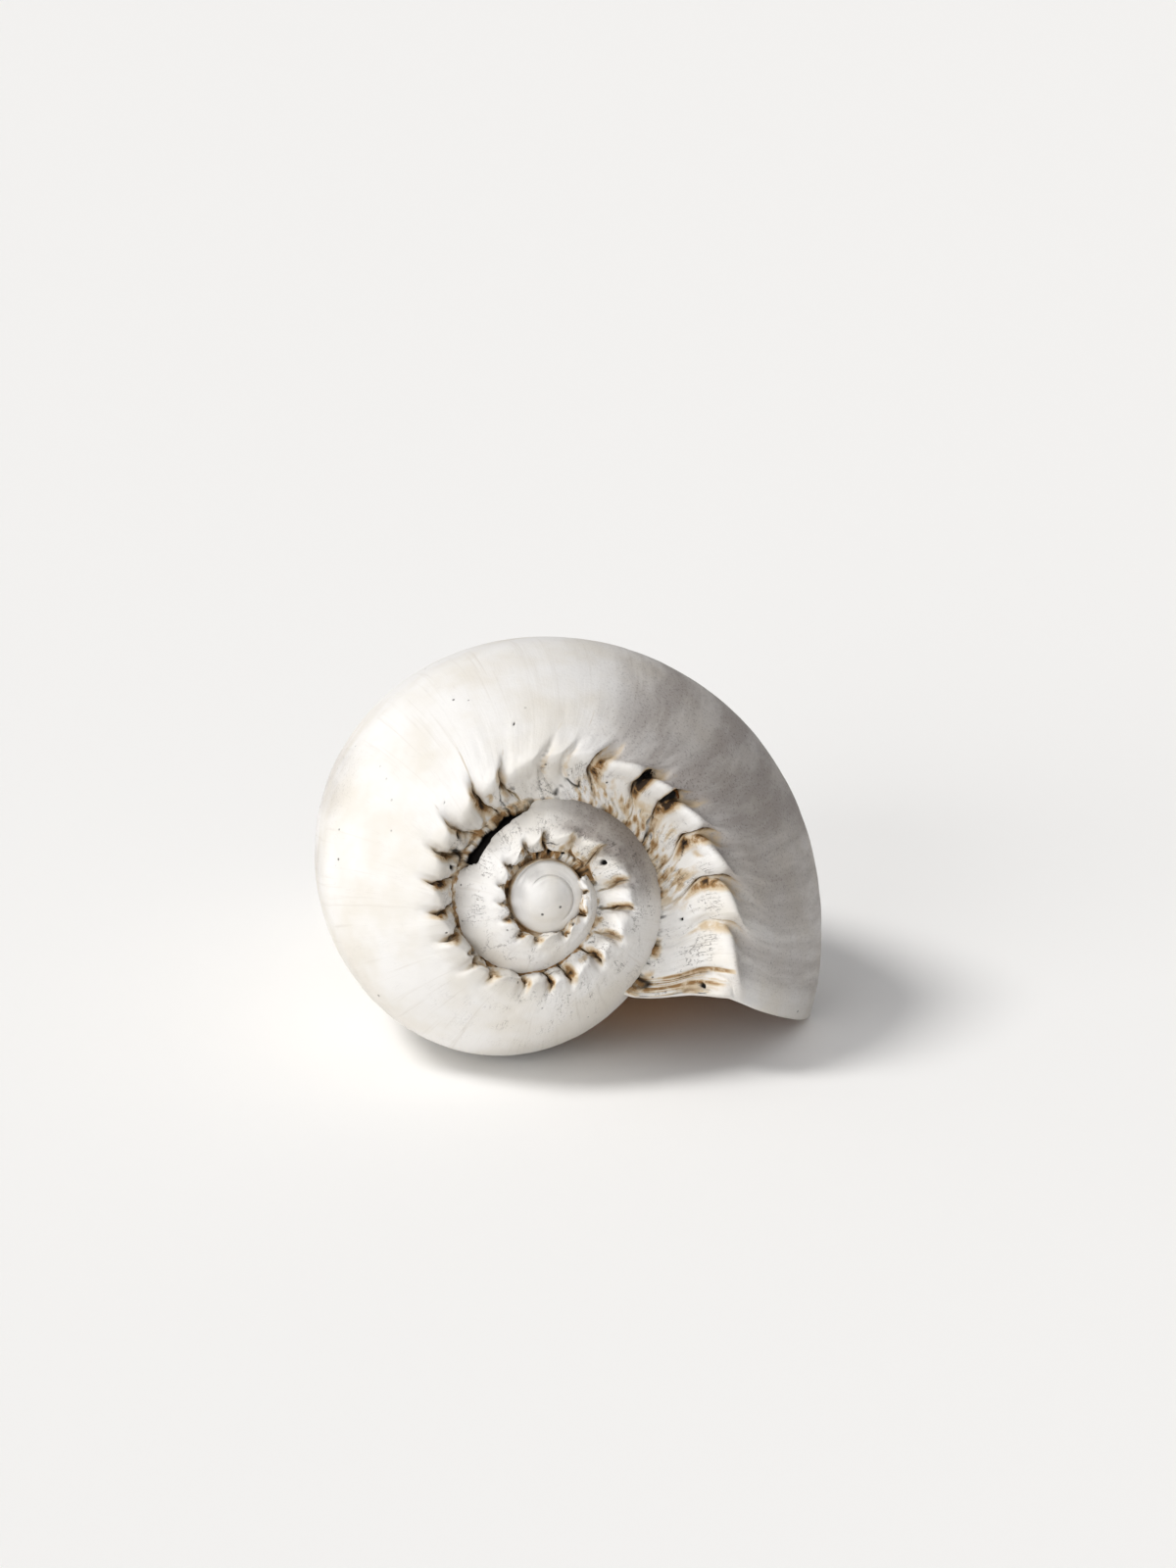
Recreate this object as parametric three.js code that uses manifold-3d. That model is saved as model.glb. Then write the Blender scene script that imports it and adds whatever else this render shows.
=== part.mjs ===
// A melon shell: the bleached shell of a large sea snail, lying on its opening.
// Millimetres, +Z up. The origin is at the centre of the footprint, on the surface that carries it.
// The wall grows round an axis that runs from the apex, which faces -Y, to the front tip behind.
import * as THREE from "three";
import { mergeVertices } from "three/addons/utils/BufferGeometryUtils.js";
import Module from "manifold-3d";

// The place of the apex, and how far the axis dips and turns to the left behind it.
const APEX = new THREE.Vector3(-6.34, -88.01, 54.6);
const AXIS_DIP = 14;
const AXIS_TURN = 10;

// Coiling is measured in degrees about the axis, 0 to the viewer's right and growing clockwise.
// The lip stands at LIP, and older growth has lower angles. Each list below gives one size of
// the whorl at every STATION_STEP degrees, back from STATION_START.
const LIP = 31;
const STATION_START = 60;
const STATION_STEP = 60;
const SUTURE_RADIUS = [38, 33.8, 28.8, 23.3, 23.3, 22.6, 16.8, 14.6, 13, 12, 11, 10.4, 10.4, 10.8,
  9.5, 8.2];
const SUTURE_DEPTH = [15, 13, 11.5, 9.6, 9.4, 8.4, 6, 5.2, 4.7, 4.3, 4.1, 3.9, 3.9, 4, 3.4, 2.8];
const CREST_RADIUS = [63, 51.8, 42.8, 34.8, 29.8, 24.9, 23, 24.3, 20.2, 15, 11.6, 11.6, 11.5, 12.6,
  11.2, 9.8];
const BODY_RADIUS = [103.5, 88, 75, 65.8, 56.6, 49, 41, 38, 31.5, 27.5, 26.5, 26, 19.5, 16.5, 14, 12];
const CREST_DEPTH_RATIO = 0.065;
const BODY_DEPTH_RATIO = 0.6;
const TIP_RADIUS = 7;
const TIP_DEPTH = 190;

// The section of a whorl, as shares of the way outwards and of the way along the axis:
// the sunken ramp from suture to crest, the shoulder from crest to widest point, and the body
// from there to the tip. The body is full on the outside and lean where it becomes the pillar.
const RAMP = [[0, 0], [0.3, -0.04], [0.65, 0.3]];
const SHOULDER = [[0, 0], [0.115, 0.03], [0.37, 0.2], [0.69, 0.486], [0.905, 0.752]];
const FULL_BODY = [[1, 0], [0.995, 0.15], [0.94, 0.31], [0.83, 0.47], [0.68, 0.63],
  [0.48, 0.79], [0.24, 0.92], [0, 1]];
const LEAN_BODY = [[1, 0], [1, 0.07], [0.84, 0.167], [0.58, 0.3], [0.32, 0.44],
  [0.16, 0.61], [0.065, 0.82], [0, 1]];
const LEAN_UNTIL = -350;
const FULL_FROM = -120;

// How far a growth line, and the broken edge of the lip, run ahead of the crest, in degrees,
// for each point of the section. Old growth lines lean less than young ones, and the lip takes
// over from them near the mouth.
const GROWTH_LEAD = [14, 8, 2, 0, 2, 5, 5, 4, 3, 2, 0, 0, 0, 0, 0, 0];
const OLD_LEAD_SHARE = 0.4;
const YOUNG_LEAD_SPAN = [-200, -30];
const LIP_LEAD = [19, 12, 4, 0, -1, -1.5, -2.6, -3.6, -5, -7.3, -9.6, -11, -11.9, -12.5, -24, -55];
const LIP_REACH = 34;
const LIP_BLEND_POWER = 1.5;

// The hollows between the knobs of the shoulder, in degrees, from past the lip back.
const KNOB_GAPS = [44, 27, 10.6, -4.5, -18, -37, -48, -65, -79, -90, -105, -123, -139, -151.5, -166,
  -182, -198, -218, -232, -251, -272, -286, -310, -329, -351, -369, -398, -420, -447, -467, -494,
  -518, -540, -563, -593, -617, -659, -696, -726, -748];
const KNOB_RISE = 0.27;
const KNOB_LIMIT = 3.6;
const KNOB_PEAK = 0.78;
const KNOB_MIDDLE = 0.4;
const KNOB_ROWS = [1.2, 2.7, 3.3, 5];
const SCOOP_PLACE = 0.08;
const SCOOP_WIDTH = 0.11;
const SCOOP_DEPTH = 0.8;
const SCOOP_ROWS = [2.2, 3.1, 3.6, 4.9];
const KNOB_OUT = 0.45;
const KNOB_FORWARD = 0.9;
const KNOB_SAMPLES = [0, 0.08, 0.2, 0.38, 0.56, 0.72, 0.84, 0.93];

// The folds wound round the pillar.
const FOLD_HEIGHT = 2.2;
const FOLD_PITCH = 17;
const FOLD_CLIMB = 0.1;
const FOLD_DEPTHS = [98, 110, 156, 168];
const FOLD_ANGLES = [-440, -420, -312, -292];

// The hollow: wall thickness, its growth under the knobs, how far round the hollow goes, and
// between which places of the section it lies.
const WALL = 3.2;
const WALL_AT_KNOBS = 2.6;
const THICK_ROWS = [4.5, 7];
const HOLLOW_DEEP_END = -262;
const HOLLOW_WIDE_FROM = -60;
const HOLLOW_MOUTH = 62;
const HOLLOW_STEP = 9;
const HOLLOW_ROOF = [1.7, 2.6];
const HOLLOW_ROWS = 12;
const HOLLOW_SINK = 1.5;
const HOLLOW_TAPER = 40;
const HOLLOW_DEEP_SCALE = 0.35;
const HOLLOW_START_OUTSIDE = 4.4;
const HOLLOW_START_INSIDE = 6.7;
const HOLLOW_END_AT_LIP = 15;
const HOLLOW_END_DEEP = 12.6;

// The notch at the front end, where the hollow comes out past the tip.
const NOTCH_CUT = 9;
const NOTCH_ROWS = [13.4, 14.6];
const NOTCH_ANGLES = [-75, -20];

// The smooth dome of the first whorls, as radius and depth below the apex.
const DOME = [[0, 0], [2.6, 0.35], [5, 1.3], [7, 2.7], [8.6, 4.4], [9.6, 6.5], [9.6, 12], [0, 12]];
const DOME_SIDES = 28;

// Rows of a whorl's grid: place on the section, and how many columns one step spans there.
const LAST_WHORL_ROWS = [[0, 4], [1, 2], [1.8, 1], [2.4, 1], [2.9, 1], [3.4, 1], [4, 1], [4.6, 1],
  [5.2, 2], [6.2, 4], [7.2, 4], [8, 4], [9, 4], [10, 4], [11, 4], [12, 4], [13, 4], [13.6, 4],
  [14.2, 4], [15, 4]];
const PILLAR_ROWS = [[0, 4], [1, 2], [1.8, 1], [2.4, 1], [2.9, 1], [3.4, 1], [4, 1], [4.6, 1],
  [5.2, 2], [6.2, 4], [7.2, 4], [8, 4], [9, 4], [10, 4], [10.6, 4], [11, 4], [11.3, 4], [11.6, 4],
  [11.9, 4], [12.2, 4], [12.5, 4], [12.8, 4], [13.1, 4], [13.4, 4], [13.7, 4], [14.2, 4], [15, 4]];
const INNER_WHORL_ROWS = [[0, 4], [1, 2], [1.8, 1], [2.4, 1], [2.9, 1], [3.4, 1], [4, 1], [4.6, 1],
  [5.2, 2], [6.2, 4], [7.2, 4], [8, 4], [11, 4], [13, 4]];

// Each stretch of the coil is one solid, filled to the axis, from one hollow between knobs to
// another, with the depth at which its floor meets the axis.
const STRETCHES = [
  { from: -286, to: LIP, rows: LAST_WHORL_ROWS, floor: 16, tongue: false },
  { from: -467, to: -286, rows: PILLAR_ROWS, floor: 8, tongue: true },
  { from: -617, to: -467, rows: INNER_WHORL_ROWS, floor: 6, tongue: true },
  { from: -748, to: -617, rows: INNER_WHORL_ROWS, floor: 4.6, tongue: true },
];
const TONGUE_COLUMNS = 4;
const TONGUE_TURN = 2.5;
const TONGUE_SHRINK = 0.05;
const TONGUE_SINK = 1;
const TONGUE_LAST_ROW = 8;
const TIP_CAP = 2;

// What the surface below has worn flat: everything under z = 0 is taken off.
const FLOOR_SLAB = new THREE.Vector3(260, 320, 20);

// Corners closer than this are one corner, and columns closer than this are one column.
const SAME_CORNER = 1e-4;
const SAME_ANGLE = 1e-6;

const radians = THREE.MathUtils.degToRad;
const step = (low, high, x) => THREE.MathUtils.smoothstep(x, low, high);
const window = (x, a, b, c, d) => step(a, b, x) * (1 - step(c, d, x));

// A smooth curve through equally spaced values.
function valueCurve(values) {
  const points = values.map((value, index) => new THREE.Vector2(index, value));
  const curve = new THREE.SplineCurve(points);
  const last = values.length - 1;
  return (x) => curve.getPoint(THREE.MathUtils.clamp(x / last, 0, 1)).y;
}

const station = (angle) => (STATION_START - angle) / STATION_STEP;
const sutureRadius = valueCurve(SUTURE_RADIUS);
const sutureDepth = valueCurve(SUTURE_DEPTH);
const crestRadius = valueCurve(CREST_RADIUS);
const bodyRadius = valueCurve(BODY_RADIUS);
const growthLeadCurve = valueCurve(GROWTH_LEAD);
const lipLeadCurve = valueCurve(LIP_LEAD);

// The smooth section of the whorl at one angle, as a curve of radius and depth.
function sectionCurve(angle) {
  const x = station(angle);
  const suture = [sutureRadius(x), sutureDepth(x)];
  const crest = [crestRadius(x), crestRadius(x) * CREST_DEPTH_RATIO];
  const body = [bodyRadius(x), bodyRadius(x) * BODY_DEPTH_RATIO];
  const tip = [TIP_RADIUS, TIP_DEPTH];
  const fullness = step(LEAN_UNTIL, FULL_FROM, angle);
  const between = (a, b, out, along) =>
    new THREE.Vector2(a[0] + (b[0] - a[0]) * out, a[1] + (b[1] - a[1]) * along);
  const points = [];
  for (const [out, along] of RAMP) points.push(between(suture, crest, out, along));
  for (const [out, along] of SHOULDER) points.push(between(crest, body, out, along));
  FULL_BODY.forEach(([fullOut, fullAlong], index) => {
    const [leanOut, leanAlong] = LEAN_BODY[index];
    const out = THREE.MathUtils.lerp(leanOut, fullOut, fullness);
    const along = THREE.MathUtils.lerp(leanAlong, fullAlong, fullness);
    points.push(between(tip, body, out, 1 - along));
  });
  return new THREE.SplineCurve(points);
}

const SECTION_LAST = RAMP.length + SHOULDER.length + FULL_BODY.length - 1;
const sectionPoint = (angle, row) => sectionCurve(angle).getPoint(row / SECTION_LAST);

function growthLead(angle, row) {
  const share = THREE.MathUtils.lerp(OLD_LEAD_SHARE, 1, step(...YOUNG_LEAD_SPAN, angle));
  return growthLeadCurve(row) * share;
}

function leadAt(growth, row) {
  const lead = growthLead(growth, row);
  const share = step(LIP - LIP_REACH, LIP, growth) ** LIP_BLEND_POWER;
  return lead + (lipLeadCurve(row) - lead) * share;
}

// Height of the knobs over the smooth section: each rises slowly, then drops into a scooped gap.
function knobRise(angle, row) {
  const knobAngle = angle - growthLead(angle, row);
  let index = KNOB_GAPS.findIndex((gap) => gap <= knobAngle);
  index = THREE.MathUtils.clamp(index, 1, KNOB_GAPS.length - 1);
  const width = KNOB_GAPS[index - 1] - KNOB_GAPS[index];
  const share = THREE.MathUtils.clamp((knobAngle - KNOB_GAPS[index]) / width, 0, 1);
  const size = Math.min(KNOB_RISE * radians(width) * crestRadius(station(angle)), KNOB_LIMIT);
  const hill = share < KNOB_PEAK
    ? (1 - Math.cos(Math.PI * share / KNOB_PEAK)) / 2
    : (1 + Math.cos(Math.PI * (share - KNOB_PEAK) / (1 - KNOB_PEAK))) / 2;
  const away = Math.min(Math.abs(share - SCOOP_PLACE), Math.abs(share - 1 - SCOOP_PLACE));
  const scoop = SCOOP_DEPTH * Math.exp(-((away / SCOOP_WIDTH) ** 2)) * window(row, ...SCOOP_ROWS);
  return size * ((hill - KNOB_MIDDLE) * window(row, ...KNOB_ROWS) - scoop);
}

// Height of the folds on the pillar.
function foldRise(angle, depth) {
  const phase = (depth - FOLD_DEPTHS[0] + FOLD_CLIMB * angle) / FOLD_PITCH;
  const reach = window(depth, ...FOLD_DEPTHS) * window(angle, ...FOLD_ANGLES);
  return FOLD_HEIGHT * reach * Math.sin(Math.PI * phase) ** 2;
}

const TURN = new THREE.Matrix4().makeBasis(
  new THREE.Vector3(Math.cos(radians(AXIS_TURN)), Math.sin(radians(AXIS_TURN)), 0),
  new THREE.Vector3(
    Math.sin(radians(AXIS_TURN)) * Math.sin(radians(AXIS_DIP)),
    -Math.cos(radians(AXIS_TURN)) * Math.sin(radians(AXIS_DIP)),
    -Math.cos(radians(AXIS_DIP))),
  new THREE.Vector3(
    -Math.sin(radians(AXIS_TURN)) * Math.cos(radians(AXIS_DIP)),
    Math.cos(radians(AXIS_TURN)) * Math.cos(radians(AXIS_DIP)),
    -Math.sin(radians(AXIS_DIP))));

// A point given by angle about the axis, radius from it and depth along it from the apex.
function place(angle, radius, depth) {
  const point = new THREE.Vector3(
    radius * Math.cos(radians(angle)), radius * Math.sin(radians(angle)), depth);
  return point.applyMatrix4(TURN).add(APEX);
}

// A corner of the outer surface: its place, with radius and depth kept for the end faces.
function outerCorner(growth, row, shrink, sink) {
  const angle = growth + leadAt(growth, row);
  const smooth = sectionPoint(angle, row);
  const rise = knobRise(angle, row);
  const radius = (smooth.x + KNOB_OUT * rise + foldRise(angle, smooth.y)) * shrink;
  const depth = smooth.y - KNOB_FORWARD * rise + sink;
  return { position: place(angle, radius, depth), flat: new THREE.Vector2(radius, depth) };
}

const wasm = await Module();
wasm.setup();

// A closed set of triangles, given corner by corner, as a solid.
function solidOf(corners) {
  const raw = new THREE.BufferGeometry().setFromPoints(corners);
  return solidOfGeometry(raw);
}

function solidOfGeometry(geometry) {
  const bare = new THREE.BufferGeometry();
  bare.setAttribute("position", geometry.getAttribute("position"));
  if (geometry.index) bare.setIndex(geometry.index);
  const merged = mergeVertices(bare, SAME_CORNER);
  const index = merged.index.array;
  const triVerts = [];
  for (let i = 0; i < index.length; i += 3) {
    const [a, b, c] = [index[i], index[i + 1], index[i + 2]];
    if (a !== b && b !== c && a !== c) triVerts.push(a, b, c);
  }
  const mesh = new wasm.Mesh({
    numProp: 3,
    vertProperties: new Float32Array(merged.getAttribute("position").array),
    triVerts: new Uint32Array(triVerts),
  });
  return new wasm.Manifold(mesh);
}

// Triangles of an end face, from its outline of corners.
function endFace(corners, outline, flip) {
  const contour = outline.map((corner) => corner.flat);
  for (const [a, b, c] of THREE.ShapeUtils.triangulateShape(contour, [])) {
    const [p, q, r] = [outline[a].position, outline[b].position, outline[c].position];
    if (flip) corners.push(p, r, q);
    else corners.push(p, q, r);
  }
}

// Growth angles of the columns: the same few places on every knob.
function columnAngles(from, to) {
  const angles = [];
  for (let gap = KNOB_GAPS.length - 1; gap > 0; gap -= 1) {
    const start = Math.max(KNOB_GAPS[gap], from);
    const end = Math.min(KNOB_GAPS[gap - 1], to);
    if (end - start > SAME_ANGLE) {
      for (const share of KNOB_SAMPLES) angles.push(start + share * (end - start));
    }
  }
  angles.push(to);
  return angles;
}

// Joins two neighbouring rows of corners, whose steps may span one or two columns.
function band(corners, upper, lower, upperSpan, lowerSpan, columns) {
  const wide = Math.max(upperSpan, lowerSpan);
  for (let j = 0; j < columns; j += wide) {
    const up = [];
    const low = [];
    for (let k = j; k <= j + wide; k += upperSpan) up.push(upper[k].position);
    for (let k = j; k <= j + wide; k += lowerSpan) low.push(lower[k].position);
    if (up.length === low.length) {
      corners.push(up[0], low[1], low[0], up[0], up[1], low[1]);
    } else if (up.length < low.length) {
      corners.push(up[0], low[1], low[0], up[0], up[1], low[1], up[1], low[2], low[1]);
    } else {
      corners.push(up[0], up[1], low[0], low[0], up[1], low[1], up[1], up[2], low[1]);
    }
  }
}

// One stretch of the coil, as a solid filled to the axis. An older stretch runs on a little under
// the younger one as a tongue that shrinks, so that their end faces never lie in one plane.
function stretchSolid({ from, to, rows, floor, tongue }) {
  const columns = columnAngles(from, to).map((growth) => ({ growth, shrink: 1, sink: 0 }));
  if (tongue) {
    for (let k = 1; k <= TONGUE_COLUMNS; k += 1) {
      const growth = to + k * TONGUE_TURN;
      columns.push({ growth, shrink: 1 - k * TONGUE_SHRINK, sink: k * TONGUE_SINK });
    }
  }
  const grid = rows.map(([row]) =>
    columns.map(({ growth, shrink, sink }) =>
      outerCorner(growth, row, shrink, row < TONGUE_LAST_ROW ? sink : 0)));
  const last = columns.length - 1;
  const endDepth = grid[rows.length - 1][0].flat.y + TIP_CAP;
  const axisTop = { position: place(0, 0, floor), flat: new THREE.Vector2(0, floor) };
  const axisEnd = { position: place(0, 0, endDepth), flat: new THREE.Vector2(0, endDepth) };
  const corners = [];
  for (let i = 0; i + 1 < rows.length; i += 1) {
    band(corners, grid[i], grid[i + 1], rows[i][1], rows[i + 1][1], last);
  }
  const edge = rows[0][1];
  const tipRow = grid[rows.length - 1];
  for (let j = 0; j < last; j += edge) {
    corners.push(axisTop.position, grid[0][j + edge].position, grid[0][j].position);
    corners.push(axisEnd.position, tipRow[j].position, tipRow[j + edge].position);
  }
  const firstOutline = [axisTop, ...grid.map((row) => row[0]), axisEnd];
  const lastOutline = [axisTop, ...grid.map((row) => row[last]), axisEnd];
  endFace(corners, firstOutline, false);
  endFace(corners, lastOutline, true);
  return solidOf(corners);
}

// A point of the smooth section moved inwards, away from the outer surface.
function insidePoint(angle, row, distance) {
  const curve = sectionCurve(angle);
  const here = curve.getPoint(row / SECTION_LAST);
  const along = curve.getTangent(row / SECTION_LAST);
  return new THREE.Vector2(here.x - along.y * distance, here.y + along.x * distance);
}

// The outline of the hollow at one angle: under the outer wall, then back along the whorl inside.
function hollowOutline(angle) {
  const depthShare = step(HOLLOW_DEEP_END, HOLLOW_WIDE_FROM, angle);
  const end = THREE.MathUtils.lerp(HOLLOW_END_DEEP, HOLLOW_END_AT_LIP, depthShare);
  const outline = [];
  for (const row of HOLLOW_ROOF) {
    const roof = sectionPoint(angle, row);
    outline.push(new THREE.Vector2(roof.x, roof.y + WALL + WALL_AT_KNOBS));
  }
  for (let i = 0; i <= HOLLOW_ROWS; i += 1) {
    const row = THREE.MathUtils.lerp(HOLLOW_START_OUTSIDE, end, i / HOLLOW_ROWS);
    const wall = WALL + WALL_AT_KNOBS * (1 - step(...THICK_ROWS, row));
    const notch = NOTCH_CUT * step(...NOTCH_ROWS, row) * step(...NOTCH_ANGLES, angle);
    outline.push(insidePoint(angle, row, wall - notch));
  }
  for (let i = HOLLOW_ROWS; i >= 0; i -= 1) {
    const row = THREE.MathUtils.lerp(HOLLOW_START_INSIDE, end, i / HOLLOW_ROWS);
    outline.push(insidePoint(angle - 360, row, HOLLOW_SINK));
  }
  const middle = outline.reduce((sum, point) => sum.add(point), new THREE.Vector2());
  middle.divideScalar(outline.length);
  const taper = step(HOLLOW_DEEP_END, HOLLOW_DEEP_END + HOLLOW_TAPER, angle);
  const scale = THREE.MathUtils.lerp(HOLLOW_DEEP_SCALE, 1, taper);
  return outline.map((point) => {
    const flat = point.clone().sub(middle).multiplyScalar(scale).add(middle);
    return { position: place(angle, flat.x, flat.y), flat };
  });
}

function hollowSolid() {
  const steps = Math.round((HOLLOW_MOUTH - HOLLOW_DEEP_END) / HOLLOW_STEP);
  const outlines = [];
  for (let j = 0; j <= steps; j += 1) {
    outlines.push(hollowOutline(THREE.MathUtils.lerp(HOLLOW_DEEP_END, HOLLOW_MOUTH, j / steps)));
  }
  const corners = [];
  for (let j = 0; j < steps; j += 1) {
    const [a, b] = [outlines[j], outlines[j + 1]];
    for (let i = 0; i < a.length; i += 1) {
      const next = (i + 1) % a.length;
      corners.push(a[i].position, b[next].position, a[next].position);
      corners.push(a[i].position, b[i].position, b[next].position);
    }
  }
  endFace(corners, outlines[0], false);
  endFace(corners, outlines[steps], true);
  return solidOf(corners);
}

function domeSolid() {
  const profile = DOME.map(([radius, depth]) => new THREE.Vector2(radius, -depth)).reverse();
  const geometry = new THREE.LatheGeometry(profile, DOME_SIDES);
  geometry.rotateX(-Math.PI / 2);
  geometry.applyMatrix4(TURN);
  geometry.translate(APEX.x, APEX.y, APEX.z);
  return solidOfGeometry(geometry);
}

function floorSolid() {
  const slab = new THREE.BoxGeometry(FLOOR_SLAB.x, FLOOR_SLAB.y, FLOOR_SLAB.z);
  slab.translate(0, 0, -FLOOR_SLAB.z / 2);
  return solidOfGeometry(slab);
}

function shellGeometry() {
  const [lastWhorl, ...olderWhorls] = STRETCHES.map(stretchSolid);
  let shell = lastWhorl.subtract(hollowSolid());
  for (const whorl of olderWhorls) shell = shell.add(whorl);
  shell = shell.add(domeSolid()).subtract(floorSolid());
  const { numProp, vertProperties, triVerts } = shell.getMesh();
  const geometry = new THREE.BufferGeometry();
  const positions = new Float32Array((vertProperties.length / numProp) * 3);
  for (let i = 0; i < positions.length / 3; i += 1) {
    positions.set(vertProperties.subarray(i * numProp, i * numProp + 3), i * 3);
  }
  geometry.setAttribute("position", new THREE.BufferAttribute(positions, 3));
  geometry.setIndex(Array.from(triVerts));
  geometry.computeVertexNormals();
  return geometry;
}

const bleachedShell = new THREE.MeshStandardMaterial({ color: 0xe9e5de, roughness: 0.72, metalness: 0 });
const shell = new THREE.Mesh(shellGeometry(), bleachedShell);
shell.name = "shell";

const part = new THREE.Group();
part.add(shell);

export default part;
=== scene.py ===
# %% [markdown]
# # A melon shell, bleached by the sea
#
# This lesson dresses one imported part: the shell of a large sea snail that lies on its opening.
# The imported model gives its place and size. Everything here is in metres, +Z is up, the spire
# faces -Y and the outer lip is on the right, at +X.

# %% The frame
import bmesh
import bpy
import numpy as np
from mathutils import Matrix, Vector
from types import SimpleNamespace


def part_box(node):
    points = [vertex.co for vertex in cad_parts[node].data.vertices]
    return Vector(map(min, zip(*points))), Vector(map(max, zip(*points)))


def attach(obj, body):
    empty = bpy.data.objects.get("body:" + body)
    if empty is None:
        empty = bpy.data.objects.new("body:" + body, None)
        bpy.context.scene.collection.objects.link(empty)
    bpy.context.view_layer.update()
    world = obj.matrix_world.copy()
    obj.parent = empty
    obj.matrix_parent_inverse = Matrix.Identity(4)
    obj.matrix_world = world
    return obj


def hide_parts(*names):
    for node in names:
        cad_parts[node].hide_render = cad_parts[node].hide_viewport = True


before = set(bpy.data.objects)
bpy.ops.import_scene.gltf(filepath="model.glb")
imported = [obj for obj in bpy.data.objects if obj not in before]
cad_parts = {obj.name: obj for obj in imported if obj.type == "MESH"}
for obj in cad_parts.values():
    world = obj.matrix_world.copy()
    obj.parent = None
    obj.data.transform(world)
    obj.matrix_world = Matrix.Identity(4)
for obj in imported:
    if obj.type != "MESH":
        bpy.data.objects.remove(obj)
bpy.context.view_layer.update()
MM = 0.001
low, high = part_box("shell")
BOX_CENTRE = (low + high) / 2
print("shell box in mm", [round(float(value) / MM, 1) for value in (*low, *high)])

# %% [markdown]
# ## Where the shell sits
#
# A snail builds its shell by adding to the edge of the opening while it turns, so every size
# follows from the angle about one axis. That axis starts at the apex in front and dips towards
# the tip behind. A point is named by its angle, its radius from the axis and its depth along it.

# %% The axis of coiling
APEX = np.array([BOX_CENTRE.x, BOX_CENTRE.y, low.z]) + np.array([-6.34, -88.01, 54.6]) * MM
AXIS_DIP = np.radians(14)
AXIS_TURN = np.radians(10)
AXIS = np.array([-np.sin(AXIS_TURN) * np.cos(AXIS_DIP), np.cos(AXIS_TURN) * np.cos(AXIS_DIP),
                 -np.sin(AXIS_DIP)])
RIGHT = np.array([np.cos(AXIS_TURN), np.sin(AXIS_TURN), 0])
DOWN = np.cross(RIGHT, AXIS) * -1


def place(angle, radius, depth):
    """Apex, plus the radius turned by the angle from RIGHT towards DOWN, plus the depth along
    the axis. Degrees and millimetres in, metres out."""
    turn = np.radians(angle)
    across = np.cos(turn)[..., None] * RIGHT + np.sin(turn)[..., None] * DOWN
    return APEX + (radius[..., None] * across + depth[..., None] * AXIS) * MM


print("apex in mm", np.round(APEX / MM, 1))

# %% [markdown]
# ## The whorl's sizes
#
# Four curves along the coil set the section: the suture, where a whorl meets the one before
# it, the crest, where the knobs stand, the widest place of the body, and the tip. Growth isn't
# even on a real shell, so each curve runs smoothly through sizes taken at every 60 degrees.

# %% Smooth curves and windows
def smooth(values, x):
    """Cubic curve through equally spaced values: at each value its slope is half the
    difference of its two neighbours. The end values are repeated."""
    values = np.asarray(values, float)
    x = np.clip(np.asarray(x, float), 0, len(values) - 1)
    left = np.minimum(x.astype(int), len(values) - 2)
    return cubic(*(values[np.clip(left + k, 0, len(values) - 1)] for k in (-1, 0, 1, 2)), x - left)


def cubic(before, start, end, after, share):
    """The cubic from start to end whose slopes are half the difference of the neighbours."""
    slope_in, slope_out = (end - before) / 2, (after - start) / 2
    return (((2 * start - 2 * end + slope_in + slope_out) * share
             - 3 * start + 3 * end - 2 * slope_in - slope_out) * share + slope_in) * share + start


def step(low_end, high_end, x):
    """0 below the low end, 1 above the high end, and an S curve between them."""
    share = np.clip((x - low_end) / (high_end - low_end), 0, 1)
    return share * share * (3 - 2 * share)


def window(x, start, full, until, end):
    """Rises from start to full, stays at 1, and falls from until to end."""
    return step(start, full, x) * (1 - step(until, end, x))


def bell(x, width):
    """1 at zero, falling on both sides over about the width."""
    return np.exp(-(x / width) ** 2)


print("halfway between 1 and 3:", float(smooth([1, 3], 0.5)))

# %% Sizes along the coil, in millimetres
LIP = 31
STATION_START = 60
STATION_STEP = 60
SUTURE_RADIUS = [38, 33.8, 28.8, 23.3, 23.3, 22.6, 16.8, 14.6, 13, 12, 11, 10.4, 10.4, 10.8, 9.5, 8.2]
SUTURE_DEPTH = [15, 13, 11.5, 9.6, 9.4, 8.4, 6, 5.2, 4.7, 4.3, 4.1, 3.9, 3.9, 4, 3.4, 2.8]
CREST_RADIUS = [63, 51.8, 42.8, 34.8, 29.8, 24.9, 23, 24.3, 20.2, 15, 11.6, 11.6, 11.5, 12.6, 11.2, 9.8]
BODY_RADIUS = [103.5, 88, 75, 65.8, 56.6, 49, 41, 38, 31.5, 27.5, 26.5, 26, 19.5, 16.5, 14, 12]
CREST_DEPTH_RATIO = 0.065
BODY_DEPTH_RATIO = 0.6
TIP_RADIUS = 7
TIP_DEPTH = 190
RAMP = [(0, 0), (0.3, -0.04), (0.65, 0.3)]
SHOULDER = [(0, 0), (0.115, 0.03), (0.37, 0.2), (0.69, 0.486), (0.905, 0.752)]
FULL_BODY = [(1, 0), (0.995, 0.15), (0.94, 0.31), (0.83, 0.47), (0.68, 0.63), (0.48, 0.79),
             (0.24, 0.92), (0, 1)]
LEAN_BODY = [(1, 0), (1, 0.07), (0.84, 0.167), (0.58, 0.3), (0.32, 0.44), (0.16, 0.61),
             (0.065, 0.82), (0, 1)]
LEAN_UNTIL = -350
FULL_FROM = -120


def size_at(values, angle):
    return smooth(values, (STATION_START - angle) / STATION_STEP)


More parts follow.
